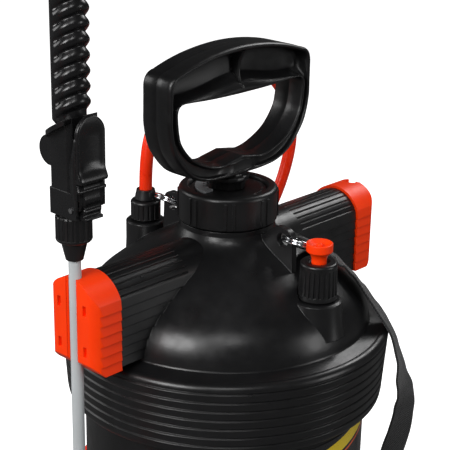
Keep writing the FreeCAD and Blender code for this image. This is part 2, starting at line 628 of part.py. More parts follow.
def make_all():
    parts = {
        "tank": make_tank(),
        "base_foot": make_base(),
        "tank_label": make_label(),
        "lance_clip_cap": make_cap(-1),
        "spare_clip_cap": make_cap(1),
        "neck_gasket": pipe(0, 0, NECK_TOP_Z, 394.4, 29.2, 25.6),
        "pump_nut": make_nut(),
        "pump_cylinder": make_pump_cylinder(),
        "rod_guide": make_guide(),
        "handle_lock_tab": make_lock_tab(),
        "piston": make_piston(),
        "piston_seal": pipe(0, 0, 163.4, 167.6, CYLINDER_BORE - 0.05, 15.6),
        "pump_rod": make_rod(),
        "pump_handle": make_handle(),
        "handle_pin": Part.makeCylinder(1.5, 22, vec(0, -11, 403), vec(0, 1, 0)),
        "air_valve_flap": make_air_valve(),
        "relief_valve_cap": make_relief_cap(),
        "relief_valve_knob": make_relief_knob(),
        "relief_valve_seal": pipe(0, VALVE_Y, 350.9, 352.8, 5.6, 1.0),
        "relief_valve_spring": pipe(0, VALVE_Y, 353.9, 362.9, 5.2, 3.0),
        "outlet_connector": make_outlet_connector(),
        "outlet_nut": make_outlet_nut(),
        "dip_tube": pipe(0, OUTLET_Y, 36, 354, TUBE_R, 2.8),
        "dip_strainer": lathe([(TUBE_R, 38), (6.5, 38), (6.5, 31), (5, 30), (0, 30), (0, 35), (TUBE_R, 36)],
                              0, OUTLET_Y),
        "lance_tube": pipe(LANCE_X, 0, 34, 403, TUBE_R, 2.8),
        "lance_gland": make_gland(),
        "lance_nut": make_lance_nut(),
        "lance_valve_body": make_valve_body(),
        "lance_grip": make_grip(),
        "hose_strain_relief": lathe([(2.6, GRIP_END_Z), (8.8, GRIP_END_Z), (8.2, GRIP_END_Z + 6),
                                     (6.4, 588.6),
                                     (2.6, 588.6)], LANCE_X),
        "trigger": make_trigger(),
        "trigger_pin": Part.makeCylinder(1.6, 22, vec(LANCE_X - 11, TRIGGER_PIN_Y, TRIGGER_PIN_Z),
                                         vec(1, 0, 0)),
        "valve_plunger": make_plunger(),
        "plunger_spring": make_plunger_spring(),
        "nozzle_body": make_nozzle_body(),
        "nozzle_cap": make_nozzle_cap(),
        "spray_hose": make_hose(),
    }
    harness = {"strap": make_strap(), "strap_ring": make_ring(), "strap_slider": make_adjuster()}
    for name, shape in harness.items():
        parts["front_" + name] = shape
        parts["back_" + name] = mirror_y(shape)
    return parts


for node, shape in make_all().items():
    save(node, shape)
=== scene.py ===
import math

import bmesh
import bpy
from mathutils import Matrix, Vector


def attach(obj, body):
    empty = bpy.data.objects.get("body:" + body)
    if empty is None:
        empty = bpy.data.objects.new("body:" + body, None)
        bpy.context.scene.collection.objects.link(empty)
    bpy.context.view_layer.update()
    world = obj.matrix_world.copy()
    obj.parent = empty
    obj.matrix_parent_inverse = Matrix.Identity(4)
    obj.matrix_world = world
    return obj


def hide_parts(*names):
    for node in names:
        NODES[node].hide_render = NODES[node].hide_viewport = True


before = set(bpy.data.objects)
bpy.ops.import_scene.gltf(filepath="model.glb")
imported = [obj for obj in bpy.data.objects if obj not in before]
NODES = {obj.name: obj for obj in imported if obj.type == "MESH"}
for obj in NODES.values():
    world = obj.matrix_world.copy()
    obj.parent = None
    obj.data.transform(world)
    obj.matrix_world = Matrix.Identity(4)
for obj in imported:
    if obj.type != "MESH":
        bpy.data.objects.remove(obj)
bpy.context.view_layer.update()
MM = 0.001

# ---------------------------------------------------------------- camera

CAMERA_AT = Vector((-0.6184, -0.5734, 0.6807))
CAMERA_LOOKS = Vector((0.68715, 0.63968, -0.34443)).normalized()
CAMERA_ROLL = math.radians(1.08)
CAMERA_LENS = 104.0


def make_camera():
    data = bpy.data.cameras.new("camera")
    data.lens = CAMERA_LENS
    data.sensor_width = 36.0
    data.dof.use_dof = False
    right = CAMERA_LOOKS.cross(Vector((0, 0, 1))).normalized()
    up = right.cross(CAMERA_LOOKS)
    across = math.cos(CAMERA_ROLL) * right + math.sin(CAMERA_ROLL) * up
    upright = across.cross(CAMERA_LOOKS)
    turn = Matrix((across, upright, -CAMERA_LOOKS)).transposed()
    camera = bpy.data.objects.new("camera", data)
    camera.matrix_world = Matrix.Translation(CAMERA_AT) @ turn.to_4x4()
    bpy.context.scene.collection.objects.link(camera)
    bpy.context.scene.camera = camera


# ---------------------------------------------------------------- material helpers

def shader_of(name, color, roughness, metallic=0.0, **sockets):
    """A new material, its node tree and its Principled shader. Even values are set on the shader
    itself."""
    material = bpy.data.materials.new(name)
    material.use_nodes = True
    tree = material.node_tree
    shader = tree.nodes["Principled BSDF"]
    shader.inputs["Base Color"].default_value = (*color, 1)
    shader.inputs["Roughness"].default_value = roughness
    shader.inputs["Metallic"].default_value = metallic
    for socket, value in sockets.items():
        shader.inputs[socket.replace("_", " ")].default_value = value
    return material, tree, shader


def place(tree, turn=(0, 0, 0), uv=False):
    """Object coordinates in metres, or the piece's own UV, turned."""
    coordinates = tree.nodes.new("ShaderNodeTexCoord")
    mapping = tree.nodes.new("ShaderNodeMapping")
    mapping.inputs["Rotation"].default_value = turn
    tree.links.new(coordinates.outputs["UV" if uv else "Object"], mapping.inputs["Vector"])
    return mapping.outputs["Vector"]


def noise(tree, vector, scale, detail=4.0, rough=0.55):
    node = tree.nodes.new("ShaderNodeTexNoise")
    node.inputs["Scale"].default_value = scale
    node.inputs["Detail"].default_value = detail
    node.inputs["Roughness"].default_value = rough
    tree.links.new(vector, node.inputs["Vector"])
    return node.outputs["Fac"]


def wave(tree, vector, scale, axis, distort):
    node = tree.nodes.new("ShaderNodeTexWave")
    node.bands_direction = axis
    node.wave_profile = "SIN"
    node.inputs["Scale"].default_value = scale
    node.inputs["Distortion"].default_value = distort
    tree.links.new(vector, node.inputs["Vector"])
    return node.outputs["Fac"]


def spread(tree, value, low, high, to_low, to_high):
    """A value's range from low to high, mapped on to another range."""
    node = tree.nodes.new("ShaderNodeMapRange")
    ends = {"From Min": low, "From Max": high, "To Min": to_low, "To Max": to_high}
    for socket, number in ends.items():
        node.inputs[socket].default_value = number
    tree.links.new(value, node.inputs["Value"])
    return node.outputs["Result"]


def math_node(tree, operation, a, b=None):
    node = tree.nodes.new("ShaderNodeMath")
    node.operation = operation
    for socket, value in zip(node.inputs, (a, b)):
        if isinstance(value, (int, float)):
            socket.default_value = value
        elif value is not None:
            tree.links.new(value, socket)
    return node.outputs["Value"]


def product(tree, *values):
    """All the values multiplied together."""
    result = values[0]
    for value in values[1:]:
        result = math_node(tree, "MULTIPLY", result, value)
    return result


def between(tree, value, low, high):
    """1 where the value lies between low and high, and 0 elsewhere."""
    above = math_node(tree, "GREATER_THAN", value, low)
    return product(tree, above, math_node(tree, "LESS_THAN", value, high))


def split_xyz(tree, vector):
    """The three outputs of a vector's parts, by letter."""
    split = tree.nodes.new("ShaderNodeSeparateXYZ")
    tree.links.new(vector, split.inputs[0])
    return split.outputs


def object_spot(tree):
    """A point's place in metres, by letter."""
    return split_xyz(tree, tree.nodes.new("ShaderNodeTexCoord").outputs["Object"])


def mix_color(tree, factor, low, high):
    node = tree.nodes.new("ShaderNodeMix")
    node.data_type = "RGBA"
    tree.links.new(factor, node.inputs[0])
    for socket, value in ((node.inputs[6], low), (node.inputs[7], high)):
        if isinstance(value, tuple):
            socket.default_value = (*value, 1)
        else:
            tree.links.new(value, socket)
    return node.outputs[2]


def bump(tree, height, depth, normal=None):
    """A bump whose full height is depth millimetres."""
    node = tree.nodes.new("ShaderNodeBump")
    node.inputs["Strength"].default_value = 1.0
    node.inputs["Distance"].default_value = depth * MM
    tree.links.new(height, node.inputs["Height"])
    if normal is not None:
        tree.links.new(normal, node.inputs["Normal"])
    return node.outputs["Normal"]


def soft_edges(tree, radius):
    """Normals that round an edge by a radius in mm, and how near a point is to one, from 0 to 1."""
    bevel = tree.nodes.new("ShaderNodeBevel")
    bevel.samples = 6
    bevel.inputs["Radius"].default_value = radius * MM
    geometry = tree.nodes.new("ShaderNodeNewGeometry")
    dot = tree.nodes.new("ShaderNodeVectorMath")
    dot.operation = "DOT_PRODUCT"
    tree.links.new(bevel.outputs["Normal"], dot.inputs[0])
    tree.links.new(geometry.outputs["Normal"], dot.inputs[1])
    return bevel.outputs["Normal"], spread(tree, dot.outputs["Value"], 0.995, 0.80, 0.0, 1.0)


GLOSS_VARIES = 0.06
GROOVE_DEPTH = 0.9


def moulded(name, color, roughness, edge=0.5, grain=0.02, grain_scale=1800, waves=0.0,
            wear=0.0, wear_color=(0.25, 0.25, 0.25), tone=0.25, grooves=None, **sockets):
    """Moulded plastic: fine grain, slow tone and gloss changes, soft edges and a little wear
    along them. edge, grain and waves are in millimetres; grooves makes a height from a tree."""
    material, tree, shader = shader_of(name, color, roughness, **sockets)
    at = place(tree)
    slow = noise(tree, at, 28, 3)
    darker = tuple(c * (1 - tone) for c in color)
    lighter = tuple(c * (1 + tone) for c in color)
    tint = mix_color(tree, spread(tree, slow, 0.35, 0.65, 0, 1), darker, lighter)
    normal, near_edge = soft_edges(tree, edge)
    if wear:
        patchy = spread(tree, noise(tree, at, 420, 6, 0.7), 0.52, 0.70, 0, wear)
        tint = mix_color(tree, product(tree, near_edge, patchy), tint, wear_color)
    tree.links.new(tint, shader.inputs["Base Color"])
    gloss = noise(tree, at, 90, 5, 0.6)
    rough = spread(tree, gloss, 0.3, 0.7, roughness - GLOSS_VARIES, roughness + GLOSS_VARIES)
    tree.links.new(rough, shader.inputs["Roughness"])
    if waves:
        normal = bump(tree, noise(tree, at, 26, 2, 0.4), waves, normal)
    if grooves:
        normal = bump(tree, grooves(tree), GROOVE_DEPTH, normal)
    normal = bump(tree, noise(tree, at, grain_scale, 3, 0.5), grain, normal)
    tree.links.new(normal, shader.inputs["Normal"])
    return material


# The wings' rounded tops, in metres: where they leave the dome, their arc's middle, their foot.
WING_FROM_X, WING_ARC_Z, WING_SHOULDER_Z = 0.058, 0.338, 0.3572
WING_LINES = 46


def wing_lines(tree):
    """Fine grooves along the wings' tops: there the surface runs along X, clear of the dome."""
    spot = object_spot(tree)
    facing = split_xyz(tree, tree.nodes.new("ShaderNodeNewGeometry").outputs["Normal"])
    rise = math_node(tree, "SUBTRACT", spot["Z"], WING_ARC_Z)
    angle = math_node(tree, "ARCTAN2", rise, spot["Y"])
    line = math_node(tree, "COSINE", math_node(tree, "MULTIPLY", angle, WING_LINES))
    cut = math_node(tree, "POWER", math_node(tree, "MAXIMUM", line, 0.0), 4.0)
    along = math_node(tree, "LESS_THAN", math_node(tree, "ABSOLUTE", facing["X"]), 0.03)
    from_middle = math_node(tree, "ABSOLUTE", spot["X"])
    beyond = math_node(tree, "GREATER_THAN", from_middle, WING_FROM_X)
    above = math_node(tree, "GREATER_THAN", spot["Z"], WING_SHOULDER_Z)
    return math_node(tree, "MULTIPLY", product(tree, cut, along, beyond, above), -1.0)


# ---------------------------------------------------------------- materials

BLACK = (0.0065, 0.0065, 0.007)
ORANGE = (1.0, 0.046, 0.001)


def webbing():
    """Flat polyester webbing: a diagonal twill of fine yarns. U is across in metres, V along."""
    material, tree, shader = shader_of("webbing", (0.012, 0.012, 0.013), 0.75,
                                       Sheen_Weight=0.35, Sheen_Roughness=0.4)
    twill = wave(tree, place(tree, turn=(0, 0, math.radians(38)), uv=True), 240, "X", 0.3)
    ends = wave(tree, place(tree, uv=True), 620, "X", 0.5)
    picks = wave(tree, place(tree, uv=True), 450, "Y", 0.4)
    yarns = math_node(tree, "ADD", math_node(tree, "MULTIPLY", twill, 0.6),
                      math_node(tree, "MULTIPLY", product(tree, ends, picks), 0.4))
    dust = noise(tree, place(tree), 700, 5, 0.7)
    tint = mix_color(tree, yarns, (0.003, 0.003, 0.0035), (0.032, 0.032, 0.034))
    tint = mix_color(tree, spread(tree, dust, 0.62, 0.8, 0, 0.35), tint, (0.07, 0.07, 0.07))
    tree.links.new(tint, shader.inputs["Base Color"])
    tree.links.new(bump(tree, yarns, 0.35), shader.inputs["Normal"])
    return material


# The sleeve's print, in metres: heights above the floor where X is 0, and how the bands climb.
YELLOW_BAND = (0.2285, 0.2385)
ORANGE_LINE = (0.2245, 0.2262)
BAND_CLIMB = 0.15
# Where the yellow band and orange line are cut off towards -X, along a slanted edge: its height
# where X is 0, and its slope
BAND_CUT, CUT_SLOPE = 0.232, 0.8


def label_print():
    """A generic printed sleeve: near black, with a yellow band and a thin orange line below it."""
    material, tree, shader = shader_of("label_print", (0.01, 0.01, 0.01), 0.3,
                                       Coat_Weight=0.4, Coat_Roughness=0.15)
    spot = object_spot(tree)

    def leaning(slope):
        return math_node(tree, "ADD", spot["Z"], math_node(tree, "MULTIPLY", spot["X"], slope))

    climb = leaning(-BAND_CLIMB)
    # Past this slanted cut, towards -X, the sleeve keeps its near-black ground with no band or line
    past_cut = math_node(tree, "GREATER_THAN", leaning(CUT_SLOPE), BAND_CUT)
    yellow = product(tree, between(tree, climb, *YELLOW_BAND), past_cut)
    orange = product(tree, between(tree, climb, *ORANGE_LINE), past_cut)
    fibre = noise(tree, place(tree), 900, 4)
    ground = mix_color(tree, fibre, (0.006, 0.006, 0.007), (0.014, 0.014, 0.015))
    tint = mix_color(tree, yellow, ground, (0.85, 0.62, 0.02))
    tint = mix_color(tree, orange, tint, (0.75, 0.10, 0.01))
    tree.links.new(tint, shader.inputs["Base Color"])
    tree.links.new(spread(tree, fibre, 0.3, 0.7, 0.25, 0.36), shader.inputs["Roughness"])
    return material


def wire(name, color, roughness):
    """Drawn and plated steel wire, with small dull spots."""
    material, tree, shader = shader_of(name, color, roughness, 1.0)
    spots = noise(tree, place(tree), 900, 5, 0.65)
    rough = spread(tree, spots, 0.4, 0.75, roughness * 0.7, roughness * 2.2)
    tree.links.new(rough, shader.inputs["Roughness"])
    tint = mix_color(tree, spots, tuple(c * 0.82 for c in color), color)
    tree.links.new(tint, shader.inputs["Base Color"])
    tree.links.new(bump(tree, spots, 0.01), shader.inputs["Normal"])
    return material


def hose_skin():
    """Soft PVC hose: a bright, slightly see-through skin with faint clouding."""
    material, tree, shader = shader_of("hose_red", (0.90, 0.03, 0.003), 0.28, Coat_Weight=0.12,
                                       Coat_Roughness=0.2, Specular_IOR_Level=0.3,
                                       Subsurface_Weight=0.25, Subsurface_Scale=0.004)
    shader.inputs["Subsurface Radius"].default_value = (1.0, 0.25, 0.1)
    cloud = noise(tree, place(tree), 120, 4)
    tint = mix_color(tree, cloud, (0.76, 0.018, 0.002), (0.96, 0.042, 0.004))
    tree.links.new(tint, shader.inputs["Base Color"])
    tree.links.new(spread(tree, cloud, 0.3, 0.7, 0.22, 0.36), shader.inputs["Roughness"])
    tree.links.new(bump(tree, noise(tree, place(tree), 700, 3), 0.03), shader.inputs["Normal"])
    return material


def slot_of(material):
    """The slot a material is for: its name without the number that tells it from the CAD's."""
    return material.name.split(".")[0]


def make_materials():
    made = [
        moulded("black_tank", BLACK, 0.33, edge=0.8, waves=0.10, grain=0.012, tone=0.15,
                grooves=wing_lines),
        moulded("black_foot", BLACK, 0.45, edge=0.8, grain=0.03),
        moulded("black_satin", BLACK, 0.36, wear=0.25),
        moulded("black_handle", BLACK, 0.34, edge=0.9, waves=0.03, grain=0.015, wear=0.9,
                wear_color=(0.5, 0.5, 0.5)),
        moulded("black_gloss", BLACK, 0.27, grain=0.01, wear=0.2),
        moulded("orange", ORANGE, 0.38, edge=0.6, grain=0.015, tone=0.06, wear=0.3,
                wear_color=(1.0, 0.25, 0.06), Subsurface_Weight=0.12, Subsurface_Scale=0.003,
                Specular_IOR_Level=0.25),
        moulded("seal_rubber", (0.012, 0.012, 0.012), 0.55, edge=0.3, grain=0.03),
        moulded("grey_plastic", (0.16, 0.165, 0.17), 0.5, edge=0.3, grain=0.05, grain_scale=1200),
        # lance_grey's slight blue-green tint is painted to offset the orange light that the cap
        # bounces on to the tube
        moulded("lance_grey", (0.50, 0.53, 0.54), 0.38, edge=0.3, grain=0.01, tone=0.05),
        label_print(),
        webbing(),
        wire("steel", (0.55, 0.55, 0.56), 0.25),
        wire("chrome_wire", (0.75, 0.76, 0.78), 0.12),
        hose_skin(),
    ]
    return {slot_of(material): material for material in made}


# ---------------------------------------------------------------- mesh helpers

def add_object(name, data, slot, body="sprayer", replaces=None):
    piece = bpy.data.objects.new(name, data)
    bpy.context.scene.collection.objects.link(piece)
    if slot:
        data.materials.append(MATERIALS[slot])
    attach(piece, body)
    if replaces:
        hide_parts(replaces)
    return piece


def smooth_line(points, steps):
    """Points along a Catmull-Rom curve through the given ones, each with its place in the list."""
    line = []
    for i in range(len(points) - 1):
        before = points[max(i - 1, 0)]
        a, b = points[i], points[i + 1]
        after = points[min(i + 2, len(points) - 1)]
        for k in range(steps):
            t = k / steps
            spot = 0.5 * ((2 * a) + (b - before) * t + (2 * before - 5 * a + 4 * b - after) * t * t
                          + (3 * a - before - 3 * b + after) * t ** 3)
            line.append((spot, i + t))
    line.append((points[-1], float(len(points) - 1)))
    return line


def close_rings(mesh, rings):
    """Skins a list of vertex rings and caps both ends."""
    count = len(rings[0])
    for a, b in zip(rings, rings[1:]):
        for i in range(count):
            j = (i + 1) % count
            mesh.faces.new((a[i], a[j], b[j], b[i])).smooth = True
    mesh.faces.new(rings[0])
    mesh.faces.new(list(reversed(rings[-1])))


def finished(mesh, name):
    """The mesh data of a finished bmesh, with its faces turned outward."""
    bmesh.ops.recalc_face_normals(mesh, faces=mesh.faces)
    data = bpy.data.meshes.new(name)
    mesh.to_mesh(data)
    mesh.free()
    return data


def ease(value, low, high):
    """From 0 at low to 1 at high, level at both."""
    t = min(max((value - low) / (high - low), 0), 1)
    return t * t * (3 - 2 * t)


def lathe_mesh(name, profile, count, flats, depth):
    """A mesh turned about Z, from (radius, height) in mm, with a number of flats of one depth."""
    mesh = bmesh.new()
    rings = []
    for r, z in profile:
        ring = []
        for i in range(count):
            angle = 2 * math.pi * i / count
            cut = depth * abs(math.sin(angle * flats / 2)) ** 0.7
            x, y = (r - cut) * math.cos(angle), (r - cut) * math.sin(angle)
            ring.append(mesh.verts.new((x * MM, y * MM, z * MM)))
        rings.append(ring)
    close_rings(mesh, rings)
    return finished(mesh, name)


# ---------------------------------------------------------------- handle

GRIP_HALF, GRIP_TOP, GRIP_LOW = 68.3, 499.5, 411.2
GRIP_EYE = Vector((0, 450))
FRONT_MOST = 13.3
# The grip's section from the middle of its inside, over the front, to the middle of its outside.
# Each point is (side it is measured from, 0 inside and 1 outside; distance from there in mm;
# how far forward it is).
BAR_SECTION = [(0, 0.25, 0), (0, 0, 0.5), (0, 0, 5), (0, 0, 10), (0, 0.6, 11.4), (0, 1.6, 12.2),
               (0, 2.8, 12.3), (0, 4.2, 11.8), (0, 7, 9.9), (0, 10, 7.1), (0, 12.2, 4.6),
               (0, 13.2, 2.9), (0, 14, 2.4), (1, -9, 2.1), (1, -5.4, 2.3), (1, -4.7, 3.4),
               (1, -4.3, 6), (1, -4, 9.6), (1, -3.7, 11.6), (1, -3.1, 12.8), (1, -2.4, 13.4),
               (1, -1.7, 13.3), (1, -0.8, 12.5), (1, -0.2, 11.2), (1, 0, 9.6), (1, 0, 5),
               (1, 0, 0.5), (1, -0.3, 0)]
ARM_SECTION = [(0, 0.25, 0), (0, 0, 0.5), (0, 0, 5), (0, 0, 10.6), (0, 0.3, 12), (0, 0.8, 12.8),
               (0, 1.4, 13), (0, 2, 12.7), (0, 2.35, 12), (0, 2.6, 10.9), (0, 2.8, 10),
               (0, 3.1, 9.6), (0, 3.4, 9.5), (1, -3.8, 9.5), (1, -3.5, 9.6), (1, -3.3, 10),
               (1, -3.2, 10.8), (1, -3, 12), (1, -2.7, 12.8), (1, -2.3, 13.2), (1, -1.8, 13.3),
               (1, -1.2, 13), (1, -0.6, 12.2), (1, -0.15, 11), (1, 0, 9.6), (1, 0, 5),
               (1, 0, 0.5), (1, -0.3, 0)]


def filled(side, distance, forward):
    """An arm's point with its channel filled, as it is beside the stem."""
    if distance and 9.4 <= forward < 11:
        forward = min(FRONT_MOST, forward + 3.2)
    return side, distance, forward


STEM_SECTION = [filled(*point) for point in ARM_SECTION]
RIB_EDGE = [(11.6, 470.5), (9.6, 474), (8, 478.5), (7.4, 483.5), (8.6, 489), (12.4, 495.5)]
RIB_BACK = 1.5
STEM = [(5.1, 399.7), (11.2, 399.7), (11.8, 400.3), (11.8, 405), (12.6, 405.6), (14, 406),
        (14.3, 406.6), (14.3, 408.6), (13.9, 409.3), (12.4, 410), (12.2, 411.4), (13, 413.4),
        (15.5, 414.6)]


def arc_points(a, middle, b, count):
    """Points from a to b on the curve that passes through middle at its half way."""
    a, middle, b = Vector(a), Vector(middle), Vector(b)
    pull = 2 * middle - (a + b) / 2
    points = []
    for i in range(1, count + 1):
        t = i / count
        points.append((1 - t) ** 2 * a + 2 * t * (1 - t) * pull + t * t * b)
    return points


def half_outline(top, shoulder, corner, bend, low, count):
    """Half of one of the grip's outlines: over the top, round a corner and down to the middle."""
    half = [Vector(top)] + arc_points(top, shoulder, corner, count)
    half += arc_points(corner, bend, low[0], 10)
    half += [spot.xy for spot, _ in smooth_line([Vector((x, z, 0)) for x, z in low], 8)][1:]
    return half


def grip_outside():
    w, top = GRIP_HALF, GRIP_TOP
    low = [(w, 478.5), (w, 466), (w, 455), (w - 2.4, 443), (w - 6.8, 433.5), (w - 18, 420.5),
           (w - 32, 413.6), (w - 48, 411.4), (0, GRIP_LOW)]
    return half_outline((0, top), (w / 2 - 3, top - 2.6), (w - 9, 489.5), (w - 2.2, 486.2), low, 20)


def grip_inside():
    low = [(60.5, 461.5), (59.4, 452), (56.6, 443), (46.5, 431.5), (32, 424), (20, 421.3),
           (12, 422.4), (0, 424.5)]
    return half_outline((0, 466.8), (27, 467.4), (53.5, 469.2), (59, 467.6), low, 16)


def reach(line, way):
    """How far it is from the grip's eye to a line of points, along a direction."""
    best = 0.0
    for a, b in zip(line, line[1:]):
        a, b = a - GRIP_EYE, b - GRIP_EYE
        step = b - a
        cross = way.x * step.y - way.y * step.x
        if abs(cross) < 1e-9:
            continue
        far = (a.x * step.y - a.y * step.x) / cross
        share = (a.x * way.y - a.y * way.x) / cross
        if -1e-5 <= share <= 1 + 1e-5 and far > 0:
            best = max(best, far)
    return best


# Angles from the top over which the bar turns into an arm, and the arm into the stem's part
ARM_FROM = (67, 76)
STEM_FROM = (148, 166)


def section_at(angle, thick):
    """The grip's section at an angle from its top, between the bar's, the arms' and the stem's."""
    arm = ease(angle, *ARM_FROM)
    stem = ease(angle, *STEM_FROM)
    squeeze = min(1.0, max(thick - 6.5, 1) / 20)
    points = []
    for bar, side, low in zip(BAR_SECTION, ARM_SECTION, STEM_SECTION):
        scale = squeeze if bar[0] == 0 else 1.0
        t = (bar[0] + bar[1] * scale / thick) * (1 - arm)
        t += (side[0] + side[1] / thick) * arm
        forward = bar[2] * (1 - arm) + arm * (side[2] * (1 - stem) + low[2] * stem)
        points.append((t, forward))
    return points


def grip_ring(mesh, angle, inside, outside):
    """The vertices of the grip's section at one angle from its top."""
    fold = min(angle, 360 - angle)
    side = 1 if angle <= 180 else -1
    way = Vector((math.sin(math.radians(fold)), math.cos(math.radians(fold))))
    near, far = reach(inside, way), reach(outside, way)
    section = section_at(fold, far - near)
    ring = []
    for t, y in section + [(t, -y) for t, y in reversed(section[1:-1])]:
        spot = GRIP_EYE + way * (near + (far - near) * t)
        ring.append(mesh.verts.new((side * spot.x * MM, -y * MM, spot.y * MM)))
    return ring


def grip_rib(mesh, front):
    """The web across the middle of the bar's recess, on its front (1) or back (-1)."""
    edge = [spot for spot, _ in smooth_line([Vector((0, y, z)) for y, z in RIB_EDGE], 5)]

    def strip(x, forwards):
        return [mesh.verts.new((x * MM, -front * y * MM, spot.z * MM))
                for y, spot in zip(forwards, edge)]

    root = [RIB_BACK] * len(edge)
    strips = [strip(-1.6, root)]
    for x, pull in ((-1.3, 0), (-0.9, 0.5), (0, 0.75), (0.9, 0.5), (1.3, 0)):
        strips.append(strip(x, [spot.y + pull for spot in edge]))
    strips.append(strip(1.6, root))
    for a, b in zip(strips, strips[1:]):
        for k in range(len(edge) - 1):
            mesh.faces.new((a[k], a[k + 1], b[k + 1], b[k]))


def make_handle():
    """The D grip: a hollow-fronted bar over two channelled arms, on a round stem with a collar."""
    mesh = bmesh.new()
    outside, inside = grip_outside(), grip_inside()
    count = 256
    rings = [grip_ring(mesh, 360 * i / count, inside, outside) for i in range(count)]
    size = len(rings[0])
    for a, b in zip(rings, rings[1:] + rings[:1]):
        for k in range(size):
            mesh.faces.new((a[k], b[k], b[(k + 1) % size], a[(k + 1) % size]))
    for front in (1, -1):
        grip_rib(mesh, front)
    for face in mesh.faces:
        face.smooth = True
    grip = finished(mesh, "handle_grip")
    add_object("handle_grip", grip, "black_handle", body="pump_shaft", replaces="pump_handle")
    stem = lathe_mesh("handle_stem", STEM, 96, 16, 0.35)
    add_object("handle_stem", stem, "black_handle", body="pump_shaft")


# ---------------------------------------------------------------- lance

LANCE_X = -137.5
RIB_PITCH, RIB_LEAN = 9.27, math.tan(math.radians(30))
RIB_FIRST, RIB_COUNT = 475.5, 9
RIB_ROOT, RIB_HIGH = 9.2, 2.6
BACK_STRIP_R, END_R = 11.4, 10.7
GRIP_Z0, GRIP_Z1 = 462, 566


def grip_radius(angle, z):
    """The grip's radius: leaning rounded ribs round the front, and a smooth strip down the back."""
    front = math.sin(angle)
    place_on = (z + 10 * front * RIB_LEAN - RIB_FIRST) / RIB_PITCH
    rib = 0.0
    if 0 <= place_on <= RIB_COUNT:
        rib = (0.5 - 0.5 * math.cos(2 * math.pi * place_on)) ** 0.6
    back = ease(front, -0.02, 0.14) * ease(z, 470, 474)
    end = ease(z, 559.5, 561.5)
    radius = RIB_ROOT + RIB_HIGH * rib
    radius += (BACK_STRIP_R - radius) * back
    radius += (END_R - radius) * end
    return radius - 0.8 * ease(z, 565.2, 566)


def make_grip():
    mesh = bmesh.new()
    around, levels = 72, 208
    rings = []
    for k in range(levels + 1):
        z = GRIP_Z0 + (GRIP_Z1 - GRIP_Z0) * k / levels
        ring = []
        for i in range(around):
            angle = 2 * math.pi * i / around
            r = grip_radius(angle, z)
            x, y = LANCE_X + r * math.cos(angle), r * math.sin(angle)
            ring.append(mesh.verts.new((x * MM, y * MM, z * MM)))
        rings.append(ring)
    close_rings(mesh, rings)
    ribs = finished(mesh, "lance_grip_ribs")
    add_object("lance_grip_ribs", ribs, "black_gloss", replaces="lance_grip")


def rounded_slab(mesh, z, half, front, back, corner, dish=0.0):
    """A ring at one height: a rectangle from front to back in Y with round corners, its front
    dished by a depth in mm."""
    points = []
    middle = (front + back) / 2
    deep = abs(back - front) / 2
    corner = min(corner, half * 0.95, deep * 0.95)
    for quarter, (sx, sy) in enumerate(((1, 1), (-1, 1), (-1, -1), (1, -1))):
        for k in range(7):
            angle = math.radians(90 * quarter + 15 * k)
            x = sx * (half - corner) + corner * math.cos(angle)
            y = middle + sy * (deep - corner) + corner * math.sin(angle)
            points.append((x, y))
        if quarter == 2:
            for k in range(1, 10):
                x = -(half - corner) + 2 * (half - corner) * k / 10
                points.append((x, min(front, back) + dish * (1 - (x / max(half, 0.1)) ** 2)))
    return [mesh.verts.new(((LANCE_X + x) * MM, y * MM, z * MM)) for x, y in points]


PADDLE_Z0, PADDLE_Z1, PADDLE_HALF = 438.4, 478.4, 11.2
PADDLE_ROUND_Z, PADDLE_ROUND_R = 467.4, 11.2
PADDLE_FRONT, PADDLE_BACK = -18.1, -14.7
CHEEK_IN, CHEEK_FRONT, CHEEK_Z0, CHEEK_Z1 = 10.1, -16.4, 421.5, 466
# The block that turns on the pin, and the wider plate over it: (height, half its width, front)
BLOCK = [(414.9, 6.3, -19.0), (415.2, 6.9, -19.8), (416.6, 6.9, -19.8), (416.9, 6.7, -19.2),
         (417.2, 6.6, -17.6), (418.9, 6.6, -17.4), (419.3, 6.8, -18.4), (421.8, 6.8, -18.6),
         (422.2, 6.6, -17.4), (424.0, 6.6, -17.2), (424.5, 6.8, -18.6), (428.5, 6.9, -18.0),
         (433.2, 6.9, -17.6), (438.9, 6.9, -17.4)]
BLOCK_BACK, NECK_BACK, NECK_Z = -6.9, -12.0, 433
PLATE = [(421.4, 9.0, -16.6), (421.8, 9.6, -17.3), (427.2, 9.6, -17.4), (427.7, 10.2, -17.5),
         (432.3, 10.3, -17.6), (432.8, 10.9, -18.4), (434.4, 10.9, -18.5), (434.9, 10.4, -17.3),
         (439.1, 10.4, -17.2)]
PLATE_BACK = -15.2


def paddle_rings(mesh):
    """The paddle's sections, from its flared lip to its round top."""
    rings = []
    for k in range(45):
        z = PADDLE_Z0 + (PADDLE_Z1 - PADDLE_Z0) * k / 44
        half = PADDLE_HALF
        if z > PADDLE_ROUND_Z:
            half *= math.sqrt(max(1 - ((z - PADDLE_ROUND_Z) / PADDLE_ROUND_R) ** 2, 0.004))
        lip = 1 - ease(z, 439.5, 446.5)
        front = PADDLE_FRONT - 2.3 * lip + 0.5 * ease(z, 470, PADDLE_Z1)
        dish = 1.5 * ease(z, 442, 451) * (1 - ease(z, 466, 476))
        shrink = 0.9 * (1 - ease(z, PADDLE_Z0, PADDLE_Z0 + 1.2))
        rings.append(rounded_slab(mesh, z, half - shrink * 0.4, front + shrink, PADDLE_BACK, 1.5,
                                  dish))
    return rings


def cheek_rings(mesh, side):
    """The sections of the web from the paddle's edge back beside the valve body."""
    rings = []
    for k in range(21):
        z = CHEEK_Z0 + (CHEEK_Z1 - CHEEK_Z0) * k / 20
        back = -10.2 - 4.2 * ease(z, 446, CHEEK_Z1) - 3.6 * (1 - ease(z, CHEEK_Z0, 436))
        loop = [(CHEEK_IN, CHEEK_FRONT), (CHEEK_IN, back), (PADDLE_HALF, back),
                (PADDLE_HALF, CHEEK_FRONT)]
        rings.append([mesh.verts.new(((LANCE_X + side * x) * MM, y * MM, z * MM))
                      for x, y in loop])
    return rings


